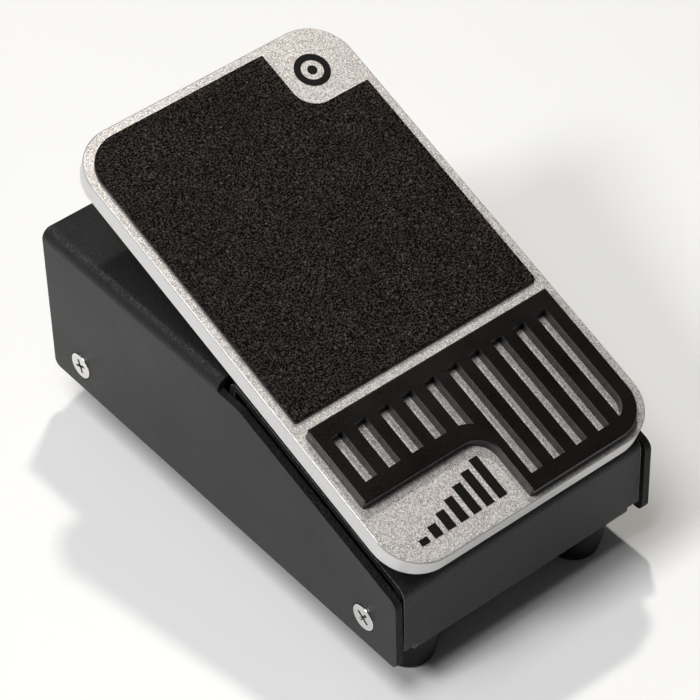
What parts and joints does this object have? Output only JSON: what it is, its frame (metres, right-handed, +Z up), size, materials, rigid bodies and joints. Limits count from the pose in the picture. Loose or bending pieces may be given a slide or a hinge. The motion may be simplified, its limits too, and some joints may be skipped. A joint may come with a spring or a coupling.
{
  "type": "volume pedal",
  "caption": "Small foot-operated volume pedal: a tilting treadle plate on a folded sheet-metal wedge chassis, with a geared potentiometer inside and jacks at the toe end.",
  "frame": {"origin": "on the floor under the middle of the whole pedal's outline", "axes": "+Z up, +Y from the heel end to the toe end, +X to the right as seen by the player"},
  "size_m": [0.0604, 0.1081, 0.0695],
  "materials": {
    "black_coat": "fine-textured black powder coat, satin",
    "plate_metal": "light grey metallic fleck on top, satin edges",
    "grip": "coarse grit, matt black",
    "rib_rubber": "smooth black rubber, satin",
    "foot_rubber": "moulded black rubber, matt",
    "bumper_rubber": "soft black rubber, matt",
    "print": "dark printed ink",
    "screw_steel": "zinc-plated",
    "bracket_steel": "zinc-plated sheet",
    "shaft_steel": "ground steel",
    "bronze": "oiled bronze",
    "washer_plastic": "pale nylon",
    "gear_plastic": "pale acetal",
    "pinion_brass": "machined brass",
    "pot_metal": "die-cast, satin",
    "pot_can": "plated sheet",
    "wafer": "brown phenolic board",
    "wiper": "black moulding with spring fingers",
    "jack_plastic": "black moulding",
    "jack_chrome": "nickel plate",
    "contact_metal": "tinned spring brass",
    "wire_red": "insulation",
    "wire_white": "insulation",
    "wire_black": "insulation"
  },
  "bodies": {
    "chassis": {"cover_shell": "black_coat", "base_pan": "black_coat", "side_screws": "screw_steel", "foot_heel_left": "foot_rubber", "foot_heel_right": "foot_rubber", "foot_toe_left": "foot_rubber", "foot_toe_right": "foot_rubber", "foot_screws": "screw_steel", "foot_nuts": "screw_steel", "pivot_bracket": "bracket_steel", "pivot_bracket_screws": "screw_steel", "pivot_shaft": "shaft_steel", "shaft_clips": "bracket_steel", "thrust_washers": "washer_plastic", "heel_bumper": "bumper_rubber", "toe_bumper": "bumper_rubber", "pot_base": "pot_metal", "pot_can": "pot_can", "pot_track": "wafer", "pot_washer": "screw_steel", "pot_nut": "screw_steel", "pot_bracket": "bracket_steel", "pot_bracket_screws": "screw_steel", "jack_washers": "screw_steel", "jack_nuts": "jack_chrome", "input_jack_housing": "jack_plastic", "output_jack_housing": "jack_plastic", "input_jack_barrel": "jack_chrome", "output_jack_barrel": "jack_chrome", "input_jack_contacts": "contact_metal", "output_jack_contacts": "contact_metal", "wire_input": "wire_red", "wire_output": "wire_white", "wire_ground": "wire_black", "wire_link": "wire_black"},
    "treadle": {"treadle_plate": "plate_metal", "treadle_bracket": "bracket_steel", "bracket_screws": "screw_steel", "grip_pad": "grip", "ribbed_pad": "rib_rubber", "heel_mark": "print", "toe_mark": "print", "sector_gear": "gear_plastic", "sector_screws": "screw_steel", "bushing_left": "bronze", "bushing_right": "bronze"},
    "pot_rotor": {"pot_shaft": "pot_metal", "pinion_gear": "pinion_brass", "pinion_set_screw": "screw_steel", "pot_wiper": "wiper"}
  },
  "joints": [
    {"name": "treadle_hinge", "type": "hinge", "parent": "chassis", "child": "treadle", "pos_m": [0, -0.00186, 0.0382], "axis": [-1, 0, 0], "range_deg": [0, 18.5]},
    {"name": "pot_turn", "type": "hinge", "parent": "chassis", "child": "pot_rotor", "pos_m": [0, 0.01764, 0.02296], "axis": [-1, 0, 0], "range_deg": [-83.5, 0]}
  ],
  "couplings": [
    {"joint": "pot_turn", "follows": "treadle_hinge", "ratio": -4.5}
  ]
}
